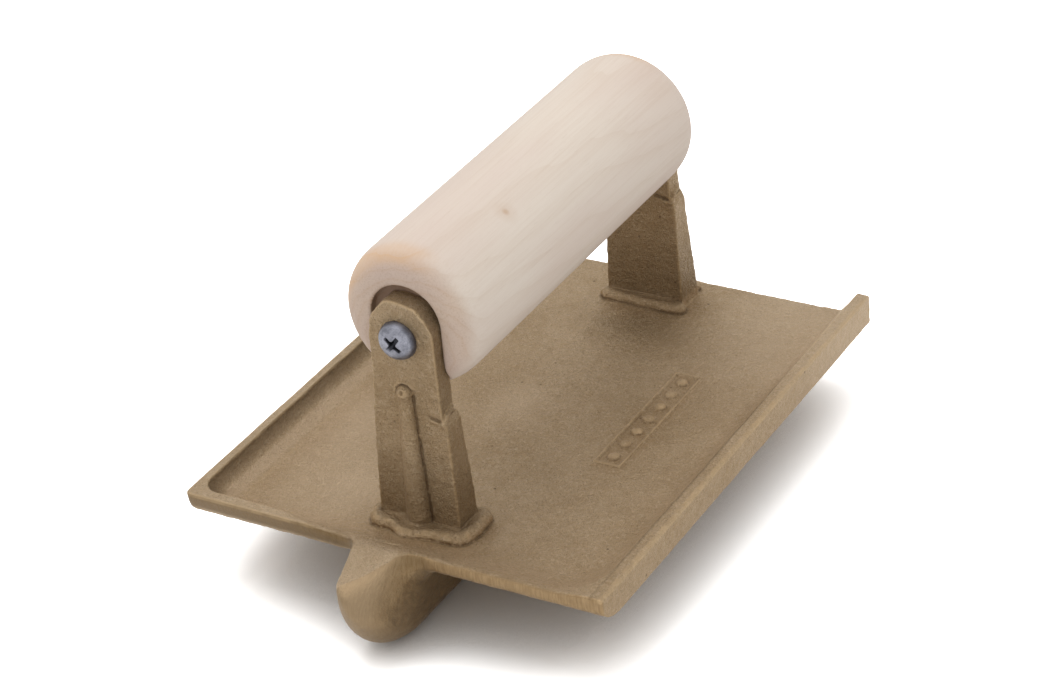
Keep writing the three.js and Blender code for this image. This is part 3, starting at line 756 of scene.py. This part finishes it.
def wood_material():
    g = Material("handle_wood")
    mm = g.millimetres()
    # growth rings about a leaning pith below the handle's axis, slightly wavy
    split = g.new("SeparateXYZ")
    g.link(mm, split.inputs[0])

    def from_pith(axis, pith, lean):
        offset = g.math("ADD", g.math("SUBTRACT", split.outputs[axis], pith),
                        g.math("MULTIPLY", split.outputs[1], lean))
        return g.math("MULTIPLY", offset, offset)

    squares = g.math("ADD", from_pith(axis=0, pith=1.5, lean=0.035),
                     from_pith(axis=2, pith=71.0, lean=0.03))
    wave = g.noise(g.scaled(mm, (0.055, 0.011, 0.055)), scale=1.0, detail=3, rough=0.5)
    radius = g.math("ADD", g.math("SQRT", squares), g.math("MULTIPLY", wave, 9.0))
    ring = g.math("FRACT", g.math("MULTIPLY", radius, 0.36))
    late = g.ramp(ring, (0.0, 0.30), (0.45, 0.0), (0.80, 0.5), (0.97, 1.0))
    fibre = g.noise(g.scaled(mm, (1.5, 0.028, 1.5)), scale=1.0, detail=4, rough=0.62)
    pores = g.noise(g.scaled(mm, (4.4, 0.17, 4.4)), scale=1.0, detail=2, rough=0.7)
    tint = g.noise(g.scaled(mm, (0.05, 0.014, 0.05)), scale=1.0, detail=2, rough=0.5)
    side = g.coat(linear(WOOD_PALE), WOOD_PINK, g.ramp(tint, (0.35, 0.0), (0.66, 1.0)))
    side = g.coat(side, WOOD_GRAIN, late, strength=0.17)
    side = g.coat(side, WOOD_GRAIN, g.ramp(fibre, (0.44, 0.0), (0.72, 0.20)))
    side = g.coat(side, WOOD_PORE, g.ramp(pores, (0.60, 0.0), (0.76, 0.20)))
    # the ends are darker, with plainer rings
    dots = g.noise(mm, scale=2.4, detail=3, rough=0.75)
    end = g.coat(linear(END_PALE), END_GREY, g.ramp(tint, (0.35, 0.0), (0.7, 1.0)))
    end = g.coat(end, END_RING, late, strength=0.22)
    end = g.coat(end, END_PORE, g.ramp(dots, (0.48, 0.0), (0.72, 0.36)))
    end_mask = g.attr("endgrain")
    col = g.mix(end_mask, side, end)
    streaks = g.math("MULTIPLY", g.math("ADD", late, fibre), 0.26)
    col = g.coat(col, WARM_TAN, g.attr("tan"), strength=g.math("ADD", 0.28, streaks))
    # painted shade inside the slots that take the post heads
    col = g.coat(col, SLOT_SHADE, g.attr("slot_shade"), strength=0.72)
    knot = g.new("VectorMath")
    knot.operation = "DISTANCE"
    g.link(mm, knot.inputs[0])
    knot.inputs[1].default_value = KNOT
    knot_mask = g.ramp(g.math("DIVIDE", knot.outputs["Value"], KNOT_R),
                       (0.10, 0.55), (0.32, 0.16), (1.0, 0.0))
    col = g.coat(col, KNOT_BROWN, knot_mask)
    normal = g.bump(fibre, strength=0.35, distance=0.00012)
    normal = g.bump(pores, strength=0.35, distance=0.00006, normal=normal)
    normal = g.bump(dots, g.math("MULTIPLY", end_mask, 0.35), distance=0.0001, normal=normal)
    g.surface({"Base Color": col, "Roughness": 0.66, "Specular IOR Level": 0.30,
               "Normal": normal})
    return g.material


# ---------------------------------------------------------------- zinc
ZINC_DARK, ZINC_PALE, ZINC_SPECK = (126, 127, 136), (172, 173, 184), (86, 87, 96)
# painted shade colours for the cross recess and the head's rim
RECESS_SHADE, RIM_SHADE = (30, 30, 34), (64, 64, 72)


def zinc_material():
    g = Material("zinc_steel")
    mm = g.millimetres()
    cloud = g.noise(mm, scale=0.42, detail=4, rough=0.6)
    grain = g.noise(mm, scale=2.6, detail=3, rough=0.65)
    col = g.coat(linear(ZINC_DARK), ZINC_PALE, g.ramp(cloud, (0.35, 0.0), (0.66, 1.0)))
    col = g.coat(col, ZINC_SPECK, g.ramp(grain, (0.48, 0.0), (0.70, 0.52)))
    # painted shade in the cross recess
    col = g.coat(col, RECESS_SHADE, g.attr("recess"), strength=0.80)
    # painted shade round the head's rim and on its lower side
    col = g.coat(col, RIM_SHADE, g.attr("rim"), strength=0.66)
    g.surface({"Base Color": col, "Metallic": 0.85,
               "Roughness": g.ramp(cloud, (0.3, 0.34), (0.7, 0.50)),
               "Normal": g.bump(grain, strength=0.45, distance=0.00010)})
    return g.material


# ---------------------------------------------------------------- floor paint
FLOOR_GREY, FLOOR_WHITE = (244, 244, 244), (247, 247, 247)
FLOOR_GAIN = 2.1                               # brightens the floor for the camera alone


def floor_material():
    g = Material("floor_paint")
    mottle = g.noise(g.scaled(g.place, (1, 1, 1)), scale=3.0, detail=2, rough=0.5)
    pale = g.coat(linear(FLOOR_GREY), FLOOR_WHITE, mottle)
    # camera rays see clean white, with a painted shadow close to the tool
    path = g.new("LightPath")
    contact = g.new("AmbientOcclusion")
    contact.samples = 8
    contact.inputs["Distance"].default_value = 0.04
    gain = g.ramp(contact.outputs["AO"], (0.10, 0.30), (0.40, 0.42), (0.75, 1.0))
    gain = g.mix(1.0, gain, (FLOOR_GAIN,) * 3, mode="MULTIPLY")
    hot = g.mix(1.0, pale, gain, mode="MULTIPLY")
    g.surface({"Base Color": g.mix(path.outputs["Is Camera Ray"], pale, hot),
               "Roughness": 0.9, "Specular IOR Level": 0.0})
    # clear from below, so that the sole can be looked at
    clear, both, geometry = (g.new(k) for k in ("BsdfTransparent", "MixShader", "NewGeometry"))
    g.link(geometry.outputs["Backfacing"], both.inputs[0])
    g.link(g.bsdf.outputs[0], both.inputs[1])
    g.link(clear.outputs[0], both.inputs[2])
    g.link(both.outputs[0], g.output.inputs[0])
    return g.material


# ---------------------------------------------------------------- surface masks
# Masks are products of steps, each fading in from its first limit to its second, in mm
# or, for the parts of the outward normal (out_x, out_y, out_z), in cosines.
def patch(x, y, centre, size):
    return np.exp(-((x - centre[0]) / size[0]) ** 2 - ((y - centre[1]) / size[1]) ** 2)


def ground_masks(points, normals):
    """Ground metal: the bit and prow, the near end's front, and all of it together."""
    x, y, z = points.T
    out_x, out_y, out_z = normals.T
    seam = np.interp(x, *SEAM) + 0.22 * noise_b(x / 2.5, 0 * x + 0.5, 0 * x + 2.5)
    prow = np.maximum(step(0.22, -0.22, y - seam) * (x > -8.0),
                      step(-0.6, -1.6, z) * step(12.0, 10.0, np.abs(x)))
    prow = np.maximum(prow, step(-79.0, -81.0, y) * step(2.9, 2.3, z))
    flank = step(0.35, 0.05, out_z) * step(4.4, 3.6, z) * step(12.5, 10.5, np.abs(x))
    prow = np.maximum(prow, flank * (y < -60)) * step(13.5, 10.5, x)
    front = step(-0.5, -0.8, out_y) * step(-74.6, -75.4, y) * (1 - prow)
    crest = step(0.25, -0.25, y - seam) * step(9.0, 12.0, x) * (1 - prow)
    front = np.maximum(front, crest)
    sole = step(-0.75, -0.95, out_z) * step(1.0, 0.2, z) * step(-1.2, -0.6, z)
    outer = 0.16 * step(0.55, 0.85, np.abs(out_x)) * step(58.5, 59.6, np.abs(x))
    return prow, front, np.clip(outer + sole + front + prow, 0, 1)


def roughen(points, normals, wear_and_highlight, ground, prow):
    """Move the points to give cast skin its grain and ground metal a faint one."""
    x, y, z = points.T
    rubbed_rim = 0.75 * step(0.10, 0.30, wear_and_highlight) * (np.abs(z - 6) < 4) * (np.abs(x) > 20)
    grain = 0.085 * noise_c(x / 2.3, y / 2.3, z / 2.3)
    grain = grain + 0.085 * noise_b(x / 1.05 + 4, y / 1.05, z / 1.05)
    lift = (1 - ground) * (1 - rubbed_rim) * grain
    lift = lift + ground * 0.016 * noise_c(x / 0.8, y / 1.2, z / 4.0)
    lift = lift - 0.10 * prow * step(-74, -77, y)
    return points + normals * lift[:, None]


def wear_and_highlight_masks(points, normals, wear_and_highlight, oxide_and_shade):
    """Add rubbed places and painted highlights to the edge mask, and painted shade to the crease
    mask.
    """
    x, y, z = points.T
    out_x, out_y, out_z = normals.T
    lip = np.exp(-((np.abs(x) - 60.0) ** 2 + (z - RIM_Z + 0.3) ** 2) / 0.40)
    lip = lip * (np.abs(out_x) < 0.93)
    on_floor = (out_z > -0.2) * (z < 3.6) * (z > 0.8)
    relief = panel_relief(x, y)
    bead = (z > 2.9) * (z < 5.6) * (np.abs(x) < 18) * ((y < -47) | (y > 55)) * (y > -67)
    bead = bead * np.maximum(
        step(1.2, 0.3, np.abs(polygon_distance(x, y, NEAR_FOOT) + 1.0)),
        0.5 * step(1.0, 0.2, np.abs(polygon_distance(x, y, FAR_FOOT) + 1.0)))
    # painted highlight along the front edge of the near post, on its right edge and arch only
    arris = step(0.22, 0.45, np.abs(out_y)) * step(0.22, 0.45, np.hypot(out_x, out_z))
    arris = arris * (y < -57.6) * (y > -60) * (z > 6)
    arris = arris * ((x > 7.5) | (z > 62.5)) * (np.abs(x) < 13)
    knob = np.exp(-((x - 1.0) ** 2 + (z - 42.4) ** 2) / 0.8) * (y < -59.0) * (y > -63.5)
    wear_and_highlight = wear_and_highlight * (1 - 0.8 * step(-70.0, -74.0, y) * step(-30.0, -16.0, x) * (z > 3))
    # rubbed wear and painted highlight on the side rims' outer top edges, the panel's relief and
    # the foot beads; painted highlight alone on the near post's front edge and the rib's knob
    for rub_and_highlight in (
            (0.42 + 0.22 * (x > 0)) * lip * (z > 6),
            (0.50 + 0.25 * noise_b(x / 1.3, y / 1.3, 0 * x)) * step(0.30, 0.55, relief) * on_floor,
            0.44 * bead * (0.6 + 0.6 * noise_b(x / 1.2, y / 1.2, z / 1.2)),
            0.36 * arris * (0.55 + 0.6 * noise_b(x / 2.2, y / 2.2, z / 3.1)),
            0.5 * knob):
        wear_and_highlight = np.clip(wear_and_highlight + rub_and_highlight, 0, 1)
    # painted shade round the panel's relief, and a painted shadow line inside the right rim
    panel_edge = np.maximum(np.abs(x - PANEL_X) - (PANEL_HALF_X + 1.5),
                            np.abs(y - PANEL_Y) - (PANEL_HALF_Y + 1.5))
    halo = on_floor * step(0.55, 0.10, relief) * step(0.0, -1.5, panel_edge)
    oxide_and_shade = np.clip(oxide_and_shade + 0.12 * halo, 0, 1)
    line = np.exp(-((x - 57.3) ** 2 + (z - 7.8) ** 2) / 0.3)
    return wear_and_highlight, np.clip(oxide_and_shade + 0.5 * line, 0, 1)


def painted_light_and_shade_masks(points, normals, prow, front):
    """Painted light and painted shade."""
    x, y, z = points.T
    out_x, out_y, _ = normals.T
    floor = z < 4
    wall_foot = step(0.2, 0.42, out_x) * step(4.1, 3.3, z) * step(1.9, 2.5, z) * (x < -49)
    # painted light: paler floor patches, the prow's cast top and the foot of the left rim's inner
    # wall
    painted_light = sum((
        step(14.0, 40.0, x) * step(0.0, 62.0, y),
        0.55 * step(-16.0, -34.0, x) * step(30.0, -20.0, y),
        0.9 * step(-70.0, -76.0, y) * step(11.0, 5.0, np.abs(x + 3)),
        0.8 * step(5.5, 2.5, z) * patch(x, y, centre=(-22, -52), size=(9.0, 16.0)),
        0.6 * patch(x, y, centre=(-43, -26), size=(9.0, 17.0)) * floor,
        0.75 * patch(x, y, centre=(-7, 2), size=(9.0, 12.0)) * floor,
        0.9 * wall_foot))
    # painted shade on the low part of the posts, and a painted shadow on the floor on the near
    # side of the far one
    post = step(3.5, 5.5, z) * step(34.0, 8.0, z) * step(18.0, 16.0, np.abs(x))
    post = post * (0.25 + 0.75 * step(-66.2, -64.6, y))
    shade = patch(x, y, centre=(5, 47.5), size=(11.0, 7.0)) * floor * (z > 0)
    # painted shade on the inner wall of the left rim, darkest under the edge
    wall = step(0.22, 0.5, out_x) * (x < -50) * (z > 2.2)
    wall = wall * np.interp(z, [3.7, 4.3, 4.8, 5.7, 6.9, 8.0], [0.0, 0.30, 0.58, 0.84, 0.95, 0.95])
    # painted shade: the prow, the near end's front left of the bit, the posts, the floor before
    # the far post and the left rim's inner wall
    painted_shade = sum((
        (0.62 + 0.2 * step(-80.0, -70.0, y)) * prow,
        0.95 * front * (x < -8),
        0.05 * front * (x > 0),
        0.5 * post * (1 + 0.2 * (y > 0)),
        0.22 * step(0.5, 0.8, out_x) * (z > 5) * (y < 0) * (np.abs(x) < 16),
        0.28 * (z > 37) * (y < 0) * step(0.6, 0.2, np.abs(out_y)),
        0.42 * shade,
        wall))
    return np.clip(painted_light, 0, 1.3), np.clip(painted_shade, 0, 1)


# ---------------------------------------------------------------- parts
def build_casting(material):
    points, quads = mesh_shape(casting, (-62, -95, -21), (62, 78, 69), 0.40)
    normals = normals_at(casting, points)
    # convex edges take rubbed wear and painted highlight; hollows take oxide
    wear_and_highlight = np.clip((values_at(casting, points - normals * 0.55) + 0.55) / 0.55, 0, 1)
    oxide_and_shade = np.clip((0.9 - values_at(casting, points + normals * 0.9)) / 0.9, 0, 1)
    prow, front, ground = ground_masks(points, normals)
    rough_points = roughen(points, normals, wear_and_highlight, ground, prow)
    wear_and_highlight, oxide_and_shade = wear_and_highlight_masks(points, normals, wear_and_highlight, oxide_and_shade)
    # painted light and painted shade
    painted_light, painted_shade = painted_light_and_shade_masks(points, normals, prow, front)
    return make_object("bronze_casting", rough_points, quads, material, {
        "ground": ground, "polish": prow, "wear_and_highlight": wear_and_highlight, "oxide_and_shade": oxide_and_shade,
        "painted_shade": painted_shade, "painted_light": painted_light})


def build_handle(material):
    points, quads = mesh_shape(handle, (-20, -57, 40), (20, 65, 80), 0.42)
    x, y, z = points.T
    facing = np.abs(normals_at(handle, points)[:, 1])
    # painted shade on the slot walls
    slot_shade_mask = step(0.2, -0.2, np.hypot(x, z - POCKET_Z) - POCKET_R - 0.4)
    slot_shade_mask = slot_shade_mask * (y > HANDLE_NEAR_Y + 0.25) * (y < HANDLE_FAR_Y - 0.25)
    # upper left of the rounded ends
    angle = np.arctan2(z - HANDLE_Z, x)
    tan = step(0.02, 0.36, facing) * step(1.0, 0.80, facing)
    tan = tan * step(0.9, 1.6, angle) * step(3.3, 2.7, angle)
    return make_object("turned_handle", points, quads, material, {
        "endgrain": step(0.30, 0.95, facing), "slot_shade": slot_shade_mask, "tan": tan})


def build_screws(material):
    points, quads = mesh_shape(screw, (-5.6, -4.0, -5.6), (5.6, 25.6, 5.6),
                               0.13, block=16, slack=2.2)
    x, y, z = points.T
    r = np.hypot(x, z)
    # painted shade in the cross recess
    recess = step(-0.20, -0.9, screw_dome(r, -y)) * step(3.3, 3.0, r) * (y < -0.2)
    # painted shade: the head's outer rim and its lower side
    rim = step(4.35, 4.9, r) + 0.35 * step(-1.0, -4.0, z) * step(2.6, 4.2, r)
    masks = {"recess": recess, "rim": np.clip(rim, 0, 1) * (y < 0.1)}
    near = points + np.array([0, NEAR_POST_Y, SCREW_Z])
    far = points * np.array([-1, -1, 1]) + np.array([0, FAR_POST_Y + HEAD_THICK, SCREW_Z])
    return [make_object(name, placed, quads, material, masks)
            for name, placed in (("near_screw", near), ("far_screw", far))]


bronze, wood, zinc = bronze_material(), wood_material(), zinc_material()
casting_part = build_casting(bronze)
handle_part = build_handle(wood)
near_screw, far_screw = build_screws(zinc)

for part, carrier, piece, slot_name in (
        (casting_part, "tool", "groover_casting", "bronze"),
        (handle_part, "tool", "wood_handle", "handle_wood"),
        (near_screw, "front_screw_body", "front_screw", "zinc_steel"),
        (far_screw, "rear_screw_body", "rear_screw", "zinc_steel")):
    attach(part, carrier)
    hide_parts(piece)

# ---------------------------------------------------------------- stage
bpy.ops.mesh.primitive_plane_add(size=6.0, location=(0, 0, -0.0002))
floor_plane = bpy.context.object
floor_plane.name = "studio_floor"
floor_plane.data.materials.append(floor_material())

scene = bpy.context.scene
scene.view_settings.view_transform = "Standard"
scene.view_settings.look = "None"
scene.view_settings.exposure = 0.0
scene.view_settings.gamma = 1.0

# A tent of light: dim at the skirt, brightest overhead; the camera sees plain white.
SKY_SKIRT, SKY_TOP = 0.60, 0.98
world = bpy.data.worlds.new("studio")
scene.world = world
world.use_nodes = True
sky = Wiring(world.node_tree)
background = world.node_tree.nodes["Background"]
direction = sky.new("SeparateXYZ")
sky.link(sky.new("TexCoord").outputs["Generated"], direction.inputs[0])
glow = sky.ramp(direction.outputs[2],
                (0.0, SKY_SKIRT), (0.22, 0.5 * (SKY_SKIRT + SKY_TOP)), (0.62, SKY_TOP))
camera_ray = sky.new("LightPath").outputs["Is Camera Ray"]
sky.link(sky.mix(camera_ray, glow, (1.0, 1.0, 1.0)), background.inputs[0])
background.inputs[1].default_value = 1.0

LIGHT_PLACE, LIGHT_TARGET = Vector((-0.25, 0.0, 1.10)), Vector((0, 0, 0.03))
lamp = bpy.data.lights.new("overhead", "AREA")
lamp.energy = 3.6
lamp.size = 0.7
lamp_object = bpy.data.objects.new("overhead", lamp)
scene.collection.objects.link(lamp_object)
lamp_object.location = LIGHT_PLACE
aim = (LIGHT_TARGET - LIGHT_PLACE).to_track_quat("-Z", "Y")
lamp_object.rotation_euler = aim.to_euler()

# ---------------------------------------------------------------- camera
AZIMUTH, ELEVATION, ROLL = (math.radians(v) for v in (32.47, 30.896, -5.546))
EYE = np.array([376.464, -595.355, 442.190])   # mm about the centre of the sole
camera = bpy.data.cameras.new("photo_camera")
camera_object = bpy.data.objects.new("photo_camera", camera)
scene.collection.objects.link(camera_object)
scene.camera = camera_object
back = np.array([math.sin(AZIMUTH) * math.cos(ELEVATION),
                 -math.cos(AZIMUTH) * math.cos(ELEVATION), math.sin(ELEVATION)])
level = np.array([math.cos(AZIMUTH), math.sin(AZIMUTH), 0.0])
upward = np.cross(back, level)
right = level * math.cos(ROLL) + upward * math.sin(ROLL)
top = -level * math.sin(ROLL) + upward * math.cos(ROLL)
eye = (EYE + ORIGIN_SHIFT) * 0.001
rows = [list(row) for row in zip(right, top, back, eye)]
camera_object.matrix_world = Matrix(rows + [[0, 0, 0, 1]])
camera.sensor_width = 36.0
camera.lens = 108.698963
camera.clip_start, camera.clip_end = 0.05, 20.0
